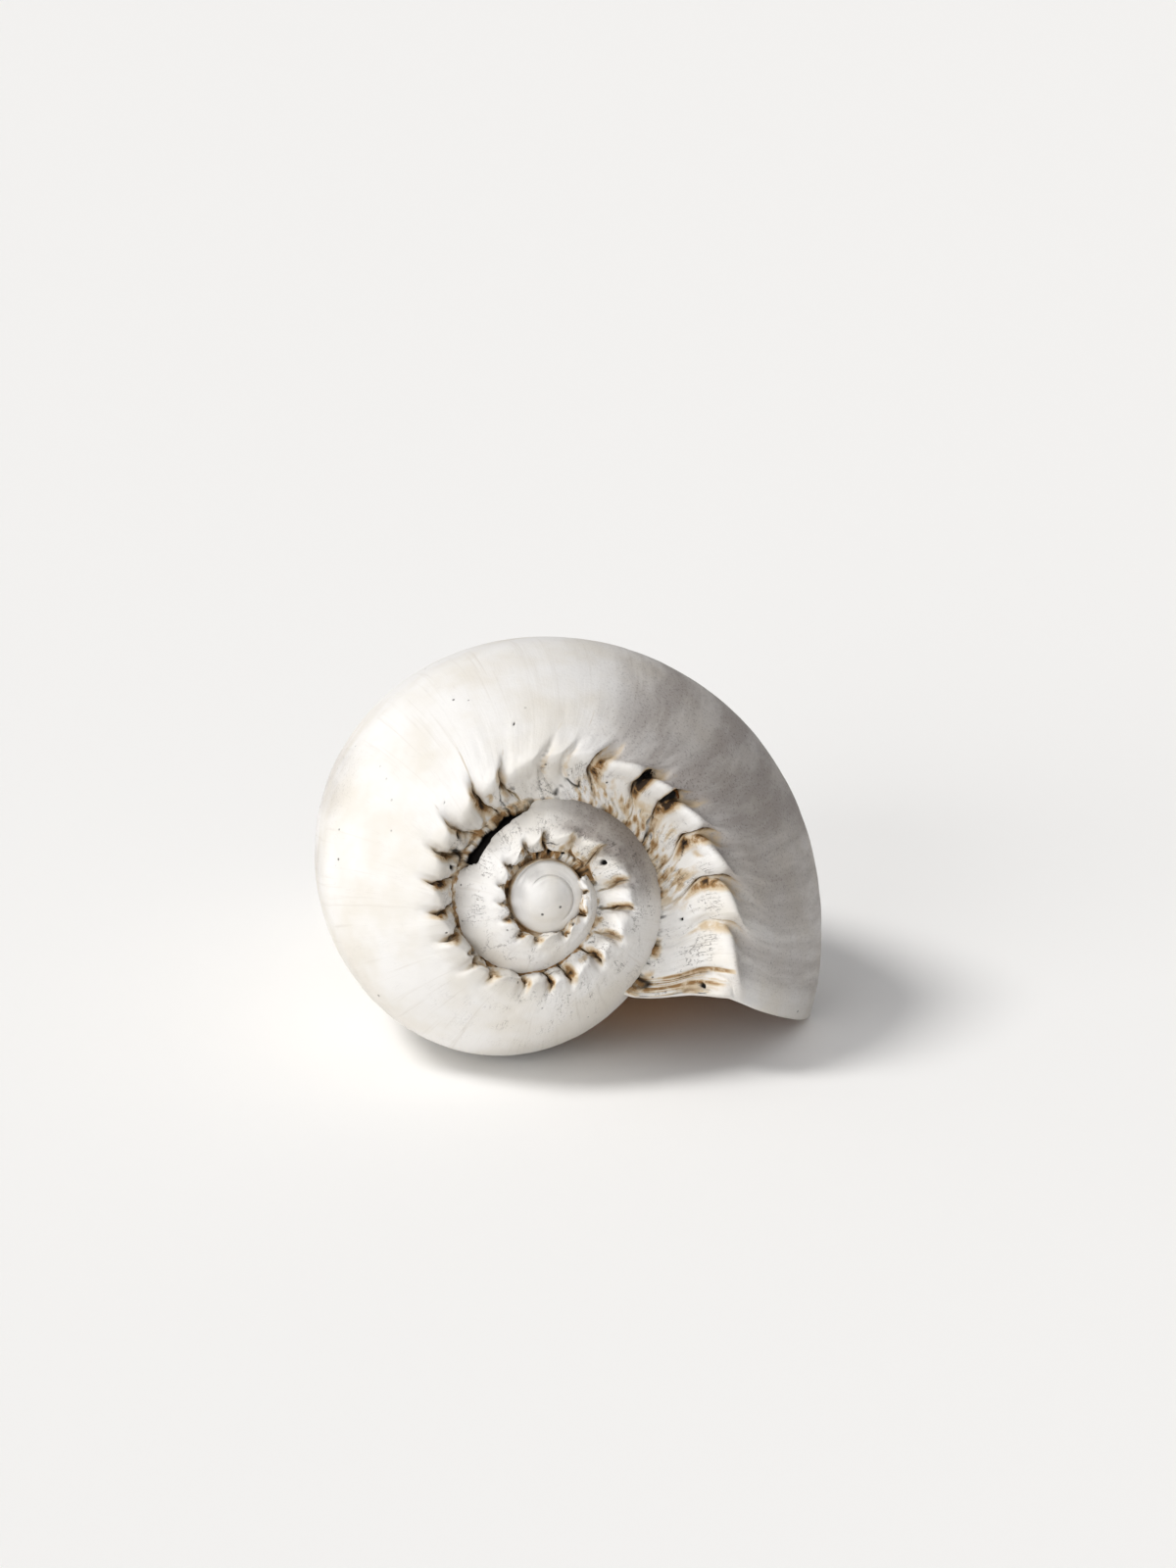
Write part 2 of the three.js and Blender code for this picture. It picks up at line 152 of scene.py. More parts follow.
def section(angle, row):
    """Radius and depth on the smooth section. Row 0 is the suture, 3 the crest, 8 the widest
    place and 15 the tip. Each stretch between them is a share of the way outwards and of the
    way along, and one cubic runs through all sixteen places."""
    crest, body = size_at(CREST_RADIUS, angle), size_at(BODY_RADIUS, angle)
    corners = [(size_at(SUTURE_RADIUS, angle), size_at(SUTURE_DEPTH, angle)),
               (crest, crest * CREST_DEPTH_RATIO), (body, body * BODY_DEPTH_RATIO),
               (TIP_RADIUS + 0 * crest, TIP_DEPTH + 0 * crest)]
    fullness = step(LEAN_UNTIL, FULL_FROM, angle)
    shares = [(0, out, along) for out, along in RAMP] + [(1, out, along) for out, along in SHOULDER]
    shares += [(2, 1 - lean[0] + (lean[0] - full[0]) * fullness,
                lean[1] + (full[1] - lean[1]) * fullness) for full, lean in zip(FULL_BODY, LEAN_BODY)]
    spots = []
    for corner, out, along in shares:
        start, end = corners[corner], corners[corner + 1]
        spots.append((start[0] + (end[0] - start[0]) * out, start[1] + (end[1] - start[1]) * along))
    spots = np.array(spots)
    row = np.broadcast_to(row, spots.shape[2:])
    left = np.minimum(row.astype(int), len(spots) - 2)
    around = [np.clip(left + k, 0, len(spots) - 1)[None, None] for k in (-1, 0, 1, 2)]
    picked = [np.take_along_axis(spots, index, 0)[0] for index in around]
    return cubic(*picked, row - left)


print("crest radius at the lip in mm", round(float(size_at(CREST_RADIUS, LIP)), 1))

# %% [markdown]
# ## Growth lines, knobs and folds
#
# Every older edge of the opening is still there as a growth line. It leans ahead of the crest
# on both sides, and so do the knobs. A knob is a wave of the shell's edge: it swells slowly,
# then drops into a scooped gap with a sharp line where the snail paused. The lip has the shape
# that waves and sand left it.

# %% Growth lines
GROWTH_LEAD = [14, 8, 2, 0, 2, 5, 5, 4, 3, 2, 0, 0, 0, 0, 0, 0]
OLD_LEAD_SHARE = 0.4
YOUNG_LEAD_SPAN = (-200, -30)
LIP_LEAD = [19, 12, 4, 0, -1, -1.5, -2.6, -3.6, -5, -7.3, -9.6, -11, -11.9, -12.5, -24, -55]
LIP_REACH = 34
LIP_BLEND_POWER = 1.5


def growth_lead(angle, row):
    """Degrees by which a growth line runs ahead of the crest: less on old whorls."""
    share = OLD_LEAD_SHARE + (1 - OLD_LEAD_SHARE) * step(*YOUNG_LEAD_SPAN, angle)
    return smooth(GROWTH_LEAD, row) * share


def lead(growth, row):
    """Growth lines far back, turning into the broken lip over the last degrees."""
    usual = growth_lead(growth, row)
    share = step(LIP - LIP_REACH, LIP, growth) ** LIP_BLEND_POWER
    return usual + (smooth(LIP_LEAD, row) - usual) * share


print("at the suture the lip runs", LIP_LEAD[0], "degrees ahead of the crest")

# %% Knobs
# The gaps' angles are in degrees, and heights, widths and depths in mm. Here and below, four
# numbers named for rows or angles are a window: start, full, until and end.
KNOB_GAPS = np.array([
    -748, -726, -696, -659, -617, -593, -563, -540, -518, -494, -467, -447, -420, -398, -369,
    -351, -329, -310, -286, -272, -255, -232, -219, -199.5, -184, -168, -152.5, -138.5, -120,
    -106.5, -88, -79, -67, -47.5, -36, -20.5, -4.5, 9.8, 27, 44])
KNOB_RISE = 0.27
KNOB_LIMIT = 3.6
KNOB_WORN = 0.45
WORN_ANGLES = (-118, -102, -74, -60)
KNOB_PEAK = 0.78
KNOB_MIDDLE = 0.4
KNOB_ROWS = (1.1, 2.4, 3.1, 4.5)
SCOOP_PLACE = 0.08
SCOOP_WIDTH = 0.11
SCOOP_DEPTH = 0.8
SCOOP_ROWS = (1.9, 2.7, 3.4, 4.5)
SCOOP_UNTIL = (14, 22)
KNOB_OUT = 0.45
KNOB_FORWARD = 0.9
YOUNG_CURL = [-2, 0.5, -0.8, 0, 2, 3.5, 3, 2, 0, 0, 0, 0, 0, 0, 0, 0]
YOUNG_FROM = (-130, -80)
SCALLOP_SHARE = 0.34
SCALLOP_MIDDLE = 0.35
TOOTH_ROUNDNESS = 0.6
YOUNG_FLATNESS = 0.75
SCALLOP_ROWS = (0.4, 1.7, 3, 4.2)


def knob_place(angle, row):
    """Which knob a point is on, how far along it from 0 to 1, and the knob's length in mm."""
    turned = angle - growth_lead(angle, row) - smooth(YOUNG_CURL, row) * step(*YOUNG_FROM, angle)
    index = np.clip(np.searchsorted(KNOB_GAPS, turned, side="right") - 1, 0, len(KNOB_GAPS) - 2)
    span = KNOB_GAPS[index + 1] - KNOB_GAPS[index]
    share = np.clip((turned - KNOB_GAPS[index]) / span, 0, 1)
    return index, share, np.radians(span) * size_at(CREST_RADIUS, angle)


def knob_rise(angle, row):
    """A slow cosine rise and a quick cosine fall on each knob, less a scoop at the gap."""
    _, share, length = knob_place(angle, row)
    size = np.minimum(KNOB_RISE * length, KNOB_LIMIT)
    size = size * (1 - KNOB_WORN * window(angle, *WORN_ANGLES))
    rising = (1 - np.cos(np.pi * share / KNOB_PEAK)) / 2
    falling = (1 + np.cos(np.pi * (share - KNOB_PEAK) / (1 - KNOB_PEAK))) / 2
    hill = np.where(share < KNOB_PEAK, rising, falling) - KNOB_MIDDLE
    away = np.minimum(np.abs(share - SCOOP_PLACE), np.abs(share - 1 - SCOOP_PLACE))
    scoop = SCOOP_DEPTH * bell(away, SCOOP_WIDTH) * window(row, *SCOOP_ROWS)
    scoop = scoop * (1 - step(*SCOOP_UNTIL, angle))
    return size * (hill * window(row, *KNOB_ROWS) - scoop)


def scallop(angle, row):
    """Millimetres by which the knobs of the older whorls reach in over the suture: a sine along
    each knob to a power below 1, so their inner ends are round teeth with narrow notches."""
    _, share, length = knob_place(angle, row)
    tooth = np.sin(np.pi * share) ** TOOTH_ROUNDNESS - SCALLOP_MIDDLE
    old = 1 - YOUNG_FLATNESS * step(*YOUNG_FROM, angle)
    return SCALLOP_SHARE * length * tooth * old * window(row, *SCALLOP_ROWS)


print(len(KNOB_GAPS) - 1, "knobs")

# %% Folds on the pillar
FOLD_HEIGHT = 2.2
FOLD_PITCH = 17
FOLD_CLIMB = 0.1
FOLD_DEPTHS = (98, 110, 156, 168)
FOLD_ANGLES = (-440, -420, -312, -292)


def fold_rise(angle, depth):
    """Rounded ridges that wind slowly along the pillar: a squared sine of the depth, which
    shifts with the angle."""
    phase = (depth - FOLD_DEPTHS[0] + FOLD_CLIMB * angle) / FOLD_PITCH
    reach = window(depth, *FOLD_DEPTHS) * window(angle, *FOLD_ANGLES)
    return FOLD_HEIGHT * reach * np.sin(np.pi * phase) ** 2


print("folds on the pillar every", FOLD_PITCH, "mm")

# %% [markdown]
# ## Roughness that follows growth
#
# The sea pits and cracks a shell along its growth lines, so the roughness is stretched that
# way. It comes from a lattice of seeded random heights, joined smoothly, laid along the coil.

# %% Noise on a lattice
LATTICE_SIZE = 257
OCTAVES = 3


def lattice(x, y, seed):
    """Random heights from -1 to 1 at whole numbers, joined by S curves in both directions."""
    heights = np.random.default_rng(seed).uniform(-1, 1, (LATTICE_SIZE, LATTICE_SIZE))
    column, line = np.floor(x).astype(int), np.floor(y).astype(int)
    across, down = x - column, y - line
    across, down = across * across * (3 - 2 * across), down * down * (3 - 2 * down)
    pick = lambda dx, dy: heights[(column + dx) % LATTICE_SIZE, (line + dy) % LATTICE_SIZE]
    near = pick(0, 0) + (pick(1, 0) - pick(0, 0)) * across
    far = pick(0, 1) + (pick(1, 1) - pick(0, 1)) * across
    return near + (far - near) * down


def rough(x, y, seed):
    """Three lattices, each half as high and twice as fine as the one before, scaled so that the
    sum stays between -1 and 1."""
    total = sum(lattice(x * 2 ** k, y * 2 ** k, seed + k) / 2 ** k for k in range(OCTAVES))
    return total / (2 - 2 ** (1 - OCTAVES))


print("a rough height", round(float(rough(np.array(0.5), np.array(0.5), 3)), 3))

# %% [markdown]
# ## The grid of the outer surface
#
# Columns are growth lines, spaced evenly along the crest, so the small old whorls get as fine
# a mesh as the last one. Rows are fine on the ramp and the knobs, and coarse on the smooth
# body, where every second column ends.

# %% Columns and rows
COLUMN_SPACING = 0.45
FINE_STEP = 0.25
FIRST_GROWTH = -748
PILLAR_FROM = -620
COVERED_ROW = 8
fine = np.arange(FIRST_GROWTH, LIP + FINE_STEP, FINE_STEP)
CREST_LENGTH = np.concatenate([
    [0], np.cumsum(np.radians(FINE_STEP) * size_at(CREST_RADIUS, fine[1:]))])
COLUMNS = 2 * int(CREST_LENGTH[-1] / COLUMN_SPACING / 2) + 1
GROWTH = np.interp(np.linspace(0, CREST_LENGTH[-1], COLUMNS), CREST_LENGTH, fine)
CREST_ROWS = np.concatenate([np.linspace(0, 3, 38)[:-1], np.linspace(3, 4.4, 22)[:-1],
                             np.linspace(4.4, 5.2, 12)[:-1], np.linspace(5.2, 6, 9)])
LAST_ROW = 15
BODY_ROWS = np.linspace(6, LAST_ROW, 56)
print(COLUMNS, "columns,", len(CREST_ROWS), "fine rows and", len(BODY_ROWS), "coarse rows")


def crest_length(growth):
    """Millimetres along the crest from the first whorl to a growth line."""
    return np.interp(growth, fine, CREST_LENGTH)


# %% [markdown]
# ## Crevices, pits and worn places
#
# Dirt gathers where the surface is deep, and deep places are also painted dark as shade, so relief,
# stain and painted shade come from the same functions. The gaps between knobs, the suture, the open
# crevice at the upper left and small round holes of boring worms are all painted dark as shade, and
# each gap has a strength of its own. What all these functions ask for is worked out once for each
# point, and called the spot.

# %% The spot, with each gap's strength from the oldest knob to the lip
GAP_STAIN = np.array([
    0.7, 0.8, 0.8, 0.7, 0.6, 0.8, 0.8, 0.7, 0.6, 0.8, 0.7, 0.9, 0.5, 0.7, 0.6, 0.8, 0.6, 0.9, 0.8,
    0.9, 0.7, 0.7, 0.6, 0.8, 0.9, 0.9, 0.8, 0.7, 0.9, 0.7, 0.35, 0.3, 0.85, 1, 1, 0.9, 0.85, 0.45,
    0.2, 0.2])
ROW_MM = 6
YOUNG_SIDE = (-110, -80)
RAMP_EDGE = (2.2, 3)


def look_up(growth, row, angle, radius):
    """The point's place, its knob's length and gap's strength, its distance past the gap in mm,
    two noises that all marks share, and how much it belongs to the young side and the ramp."""
    index, share, length = knob_place(angle, row)
    near_start = share < 0.5
    along, across = crest_length(growth), row * ROW_MM
    return SimpleNamespace(
        growth=growth, row=row, angle=angle, radius=radius, along=along, across=across,
        length=length, strength=np.where(near_start, GAP_STAIN[index], GAP_STAIN[index + 1]),
        past_gap=np.where(near_start, share, share - 1) * length,
        wave=rough(along / 5, across / 7, 3), flecks=rough(along / 1.3, across / 5, 5),
        young=step(*YOUNG_SIDE, angle), ramp=1 - step(*RAMP_EDGE, row))


print("strongest gap", GAP_STAIN.max(), "and weakest", GAP_STAIN.min())

# %% [markdown]
# A gap has a sharp line where the snail paused, painted dark as shade, with stain round it. On the
# young side the stain lies only past the line, and the two deepest gaps are painted black to the
# ground as shade. The noises keep any two gaps from looking the same.

# %% Gaps between knobs: widths in mm, and rows as for a window
LINE_ROWS = (0.2, 0.9, 3.2, 4.5)
LINE_WIDTH = 0.42
LINE_DEPTH = 1
STAIN_WIDTH = 0.17
STAIN_MOST = 2.2
STAIN_ROW = 2.4
STAIN_REACH = 1.15
CORE_WIDTH = 1.6
CORE_ROWS = (2, 2.7, 3.4, 4)
CORE_DEPTH = 0.7
CORE_STRENGTH = (0.92, 0.99)


def gap_marks(spot):
    """The line, the stain and the black core of a gap, each a bell of the distance past it; the line is
    painted dark and the core black as shade.
    """
    row, wave, young = spot.row, spot.wave, spot.young
    line = bell(spot.past_gap + 0.45 * wave, LINE_WIDTH) * window(row, *LINE_ROWS)
    line = line * step(-0.35, 0.25, 0.7 * wave + spot.strength - 0.3)
    line = line * (1 - 0.5 * young * (1 - step(1.2, 2, row)))
    wide = np.minimum(STAIN_WIDTH * spot.length, STAIN_MOST)
    beside = spot.past_gap - (1.5 * young - 0.5) * wide
    reach = bell(row + 0.4 * spot.flecks - 0.2 * young - STAIN_ROW, STAIN_REACH)
    stained = bell(beside, wide) * reach * spot.strength
    stained = stained * (1 - 0.85 * young * step(-0.2, 0.4, -spot.past_gap))
    core = bell(spot.past_gap - 0.2 + 0.4 * spot.flecks, CORE_WIDTH)
    core = core * window(row + 0.2 * wave, *CORE_ROWS) * step(*CORE_STRENGTH, spot.strength)
    return line, stained, core


print((GAP_STAIN > CORE_STRENGTH[0]).sum(), "gaps with a black core")

# %% [markdown]
# At the upper left the last whorl has come loose from the one before. The crevice has two sides:
# the edge of the ramp gapes, and a notch is worn into the whorl below it, one turn older.

# %% The open crevice
CREVICE_ANGLES = (-156, -150, -110, -84)
CREVICE_ROW = 0.27
CREVICE_DEPTH = 6
LEAST_GAPE = 0.15
NOTCH_ANGLES = (-155, -147, -125, -102, -88)
NOTCH_WIDTHS = (0, 2.4, 0.9, 0.4, 0)
NOTCH_DEPTH = 3


def crevice_edge(angle, row):
    """The row up to which the suture gapes: none outside the open stretch, less under the
    round end of each knob and more between two knobs."""
    _, share, _ = knob_place(angle, row)
    teeth = 1.2 - 0.45 * np.sin(np.pi * share) ** TOOTH_ROUNDNESS
    return CREVICE_ROW * teeth * window(angle, *CREVICE_ANGLES)


def crevice_marks(spot):
    """How far a point lies in the gaping suture, and how far in the notch of the whorl before: both are
    painted black as shade.
    """
    gaping = crevice_edge(spot.angle, spot.row)
    crevice = np.where(gaping > LEAST_GAPE, 1 - step(gaping - 0.05, gaping + 0.1, spot.row), 0)
    notch = np.interp(spot.angle + 360, NOTCH_ANGLES, NOTCH_WIDTHS)
    inside_suture = size_at(SUTURE_RADIUS, spot.angle + 360) - notch - spot.radius
    covered = step(0.05, 0.3, notch) * step(-0.3, 0.1, 0.3 * spot.wave - inside_suture)
    return crevice, covered


print("the notch is up to", max(NOTCH_WIDTHS), "mm wide")

# %% Small round holes: angle, row, radius in mm and depth in mm
PITS = [(-140, 2.1, 1.1, 1.8), (-158, 1.8, 0.9, 1.6), (-176, 1.1, 0.9, 1.4), (-213, 3, 1, 1.6),
        (-389, 2.6, 1.1, 1.8), (-474, 3, 0.9, 1.3), (-502, 2.9, 0.7, 1.2), (31, 2.3, 0.9, 1.2),
        (12, 1.2, 0.6, 1), (-453, 0.5, 0.7, 1.2), (-439, 0.5, 0.8, 1.4), (-423, 0.6, 0.7, 1.2),
        (-748, 3.3, 0.9, 1.2), (-729, 3.6, 1, 1.4), (-698, 3.3, 0.7, 1), (-678, 2.6, 0.7, 1.2),
        (-662, 3.2, 0.8, 1.2), (-133, 4.2, 0.35, 0.5), (-96, 4.9, 0.35, 0.5), (-284, 4.5, 0.35, 0.5),
        (-268, 4.8, 0.3, 0.5), (-52, 5.3, 0.35, 0.5)]
LEAST_RAMP_ROW_MM = 1.2
BODY_ROW_MM = 5
PIT_RIM = 0.25


def round_holes(spot):
    """Depth in mm and painted shade of the small round holes, each with a low rim about it."""
    dark, relief = np.zeros_like(spot.angle), np.zeros_like(spot.angle)
    ramp_width = size_at(CREST_RADIUS, spot.angle) - size_at(SUTURE_RADIUS, spot.angle)
    row_mm = np.where(spot.row < 3, np.maximum(ramp_width / 3, LEAST_RAMP_ROW_MM), BODY_ROW_MM)
    for angle, row, size, depth in PITS:
        away = np.hypot(np.radians(spot.angle - angle) * spot.radius, (spot.row - row) * row_mm)
        dark = np.maximum(dark, 1 - step(0.5 * size, size, away))
        relief -= depth * (1 - step(0.4 * size, size, away))
        relief += PIT_RIM * bell(away - 1.35 * size, 0.4 * size)
    return dark, relief


print(len(PITS), "round holes")

# %% [markdown]
# The ramp is a rough place: it is folded, cracked along growth, and dirty where water stood.
# The lip is broken into thin sheets, and the side turned away from the lamp is painted grey as shade, in
# worn streaks.

# %% Ramp, lip and the side painted grey as shade
# Stretches of dirty ramp: angles as for a window, the row where the dirt ends, and its share.
DIRTY = [(-80, -62, -8, 18, 2.7, 0.9), (-262, -235, -112, -95, 2.4, 0.85),
         (-640, -600, -400, -360, 3, 1), (-762, -752, -690, -630, 5, 1.3)]
HAIRLINE_ANGLES = (-150, -135, -70, -50)
HAIRLINE_ROWS = (3.6, 4.2, 4.7, 5.8)
LIP_BAND = (8.5, 7, 0.8, 0.3)
# Grey painted as shade where the last whorl and the older whorl behind it turn away from the lamp.
GREY_ANGLES = (-84, -50, 20, 34)
GREY_ROWS = (2.9, 3.4, 8, 12)
OLD_GREY_ANGLES = (-450, -420, -372, -345)
OLD_GREY_ROWS = (3, 4, 8, 9)


def ramp_marks(spot):
    """Swell of the folds, cracks along growth, seam at the suture, dirt and hairlines."""
    row, wave, along, across = spot.row, spot.wave, spot.along, spot.across
    swell = rough(along / 4.5 + 0.8 * wave, across / 14, 11)
    cracks = bell(lattice(along / 3.4 + 0.7 * wave, across / 20, 17), 0.05)
    cracks = cracks * spot.ramp * step(-0.1, 0.3, wave)
    seam_edge = 0.6 + 0.35 * wave + 0.7 * (1 - spot.young)
    seam = 0.8 * (1 - step(0.4, 1, row / np.maximum(seam_edge, 0.3)))
    dirt = [share * window(spot.angle, *stretch) * (1 - step(0.8, end, row + 0.5 * wave))
            for *stretch, end, share in DIRTY]
    hairline = bell(spot.past_gap + 0.7 * wave, 0.3) * window(row, *HAIRLINE_ROWS)
    hairline = hairline * window(spot.angle, *HAIRLINE_ANGLES) * step(-0.35, 0.25, spot.flecks)
    return swell, cracks, seam, np.maximum.reduce(dirt), hairline


def lip_marks(spot):
    """How broken the band behind the lip is, and the wave of its thin sheets."""
    start, full, until, end = (LIP - back for back in LIP_BAND)
    sheets_wave = rough((LIP - spot.growth) * 1.1 + 0.6 * spot.wave, spot.across / 40, 23)
    chipped = step(start, full, spot.growth + 2 * spot.wave) * (1 - step(until, end, spot.growth))
    return chipped * (1 - step(2.6, 3.5, spot.row)), sheets_wave


def paint_shade_and_weathering(spot):
    """Grey painted as shade on the side of the last whorl and on the older whorl behind it, and faint
    grey patches.
    """
    patch = rough(spot.along / 26, spot.across / 30, 53)
    grey = window(spot.angle, *GREY_ANGLES) * window(spot.row + 0.3 * patch, *GREY_ROWS)
    # The painted shade is strongest on the upper right and weaker towards the top and towards the lip.
    grey = grey * (1 - 0.35 * step(-20, 10, spot.angle)) * (0.8 + 0.2 * step(-70, -30, spot.angle))
    old_grey = window(spot.angle, *OLD_GREY_ANGLES) * window(spot.row, *OLD_GREY_ROWS)
    return np.maximum.reduce([grey, old_grey, 0.5 * step(0.1, 0.6, patch) * step(5, 7, spot.row)])


print(len(DIRTY), "dirty stretches of ramp")

# %% Relief and marks together
RIDGE_HEIGHT = 0.9
RIDGE_ROW = 2.75
DIP_ROW = 3.85
OLD_UNTIL = (-300, -190)


def marks(growth, row, angle, radius):
    """The relief in mm and the marks from 0 to 1 at each point of the outer surface: relief is
    the sum of all forms, and a mark is the strongest of what stains or darkens the point."""
    spot = look_up(growth, row, angle, radius)
    wave, flecks, strength = spot.wave, spot.flecks, spot.strength
    along, across = spot.along, spot.across
    line, stained, core = gap_marks(spot)
    crevice, covered = crevice_marks(spot)
    holes, hole_relief = round_holes(spot)
    swell, cracks, seam, dirt, hairline = ramp_marks(spot)
    chipped, sheets_wave = lip_marks(spot)
    aged = 0.8 * (1 - step(*OLD_UNTIL, angle)) * (1 - step(5, 7.5, row))
    wrinkled = np.maximum(spot.ramp, aged)

    # Heights in mm: lines and cores, folds and cracks of the ramp, fine pits, the ridge with its
    # dip, lumps on the knobs, long waves of the body, chips of the lip, holes and the notch.
    relief = -LINE_DEPTH * line * (0.3 + strength) - CORE_DEPTH * core
    relief += 0.55 * (1 - 2.4 * np.abs(swell)) * spot.ramp * step(9, 26, radius) - 0.5 * cracks
    relief += 0.22 * rough(along / 1.4, radius / 1.2, 61) * wrinkled
    ridge = bell(row - RIDGE_ROW, 0.5) - bell(row - DIP_ROW, 0.6)
    relief += RIDGE_HEIGHT * ridge * step(-75, -50, angle) * (1 - step(15, 26, angle))
    relief += (0.35 * wave + 0.16 * flecks) * window(row, 0.6, 1.5, 4.4, 6)
    body_waves = 0.16 * rough(along / 4, across / 60, 31) + 0.1 * rough(along / 14, across / 24, 37)
    relief += body_waves * step(4.8, 6.5, row)
    relief -= chipped * (0.3 + 0.6 * np.abs(sheets_wave))
    relief += hole_relief - NOTCH_DEPTH * covered

    # Brown stain of each cause, broken up by a noise of its own, and then what is painted nearly black
    # as the shade of deep places.
    fold_stain = step(0.25, 0.6, np.abs(swell)) * spot.ramp
    stain = np.maximum.reduce([
        stained, 0.85 * line * strength, core, 0.25 * hairline,
        0.85 * seam * step(-0.5, 0.3, rough(along / 6, across / 5, 41)),
        0.5 * fold_stain * step(-0.2, 0.5, rough(along / 8, across / 8, 43)),
        0.7 * dirt * step(-0.5, 0.45, rough(along / 1.5, across / 2.6, 47)),
        0.6 * chipped * step(0, 0.35, np.abs(sheets_wave))])
    dark = np.maximum.reduce([
        0.85 * line * strength, crevice, covered, holes, core ** 1.5, 0.75 * cracks, 0.35 * hairline,
        0.75 * seam * step(-0.2, 0.4, flecks), 0.4 * chipped * bell(sheets_wave, 0.06)])
    return relief, {"stain": stain, "dark": dark, "wrinkle": wrinkled, "shade_grey_and_weathering": paint_shade_and_weathering(spot)}


print("ridge of", RIDGE_HEIGHT, "mm along the shoulder")

# %% [markdown]
# ## Building the sheets
#
# The shell has an outer sheet, an inner sheet one wall thickness behind it, and a rim that
# joins them along the lip. Each is a grid of points. The inner edge of the ramp is tucked into
# the whorl before, so the suture has no gap.

# %% Outer sheet
PATTERN_ROW_MM = 8
TUCK = 1.6
TUCK_UNTIL = 0.4
START_SINK = 1.5
START_REACH = 40


def outer_points(growth, row):
    """The smooth section at the growth line's angle, plus knobs, folds and tucked edge, and
    then the fine relief along the surface's own normal."""
    angle = growth + lead(growth, row)
    radius, depth = section(angle, row)
    rise = knob_rise(angle, row)
    tucked = 1 - step(0, TUCK_UNTIL, row)
    gaping = crevice_edge(angle, row)
    pit = CREVICE_DEPTH * np.where(gaping > LEAST_GAPE, 1 - step(gaping - 0.25, gaping, row), 0)
    first = 1 - step(FIRST_GROWTH, FIRST_GROWTH + START_REACH, growth)
    radius = radius + KNOB_OUT * rise + fold_rise(angle, depth) - TUCK * tucked - scallop(angle, row)
    depth = depth - KNOB_FORWARD * rise + TUCK * tucked + pit + START_SINK * first
    relief, mark = marks(growth, row, angle, radius)
    points = place(angle, radius, depth)
    points = points + grid_normals(points) * (relief * MM)[..., None]
    mark["growth"] = growth_place(growth, row)
    mark["inside"] = np.zeros_like(row)
    return points, mark


def growth_place(growth, row):
    """Millimetres along the crest and about as many down the whorl, for the patterns."""
    return np.stack([crest_length(growth), row * PATTERN_ROW_MM, 0 * row], -1)


def grid_normals(points):
    """Unit normals of a grid, from the cross product of its steps along growth and down the
    rows. They point out of the shell."""
    normal = np.cross(np.gradient(points, axis=1), np.gradient(points, axis=0))
    return normal / np.linalg.norm(normal, axis=2, keepdims=True)


print("the edge of the ramp is tucked", TUCK, "mm into the whorl before")

# %% Inner sheet
WALL_AT_LIP = 2
WALL_DEEP = 3.6
WALL_AT_TIP = 0.8
ROOF_ROWS = (2.4, 4.6)
THIN_REACH = 25
THIN_TIP_ROWS = (12.5, 15)
INNER_END = -262
INNER_TAPER = 40
PARIETAL_ROW = 6.7
PARIETAL_SINK = 1.5
PARIETAL_UNTIL = 1.7
PARIETAL_REACH = (1, 14)
CLEAR_ROWS = (1.4, 3)
ROW_STEP = 0.05


def inner_points(growth, row):
    """The smooth section moved inwards by the wall: straight along the axis under the ramp,
    along the section's normal on the body, and down into the whorl before at the suture. The
    sheet follows the knobs, clears the crevice, and far inside it closes like a cone."""
    angle = growth + lead(growth, row)
    radius, depth = section(angle, row)
    ahead = section(angle, np.minimum(row + ROW_STEP, LAST_ROW))
    behind = section(angle, np.maximum(row - ROW_STEP, 0))
    across, along = ahead[0] - behind[0], ahead[1] - behind[1]
    length = np.hypot(across, along)
    wall = WALL_AT_LIP + (WALL_DEEP - WALL_AT_LIP) * step(0, THIN_REACH, LIP - growth)
    wall = wall + (WALL_AT_TIP - wall) * step(*THIN_TIP_ROWS, row)
    turn = step(*ROOF_ROWS, row)
    knobs = knob_rise(angle, row)
    radius = radius - wall * turn * along / length + KNOB_OUT * knobs
    depth = depth + wall * ((1 - turn) + turn * across / length) - KNOB_FORWARD * knobs
    edge_radius, edge_depth = section(angle - 360, np.full_like(row, PARIETAL_ROW))
    share = (1 - step(0, PARIETAL_UNTIL, row)) * step(*PARIETAL_REACH, LIP - growth)
    radius = radius + (edge_radius - PARIETAL_SINK - radius) * share
    depth = depth + (edge_depth - depth) * share
    clear = window(angle, *CREVICE_ANGLES) * (1 - step(*CLEAR_ROWS, row))
    depth = depth + CREVICE_DEPTH * clear
    closing = step(INNER_END, INNER_END + INNER_TAPER, angle)
    radius = radius.mean(0) + (radius - radius.mean(0)) * closing
    depth = depth.mean(0) + (depth - depth.mean(0)) * closing
    return place(angle, radius, depth)


print("wall of", WALL_AT_LIP, "mm at the lip and", WALL_DEEP, "mm deeper in")

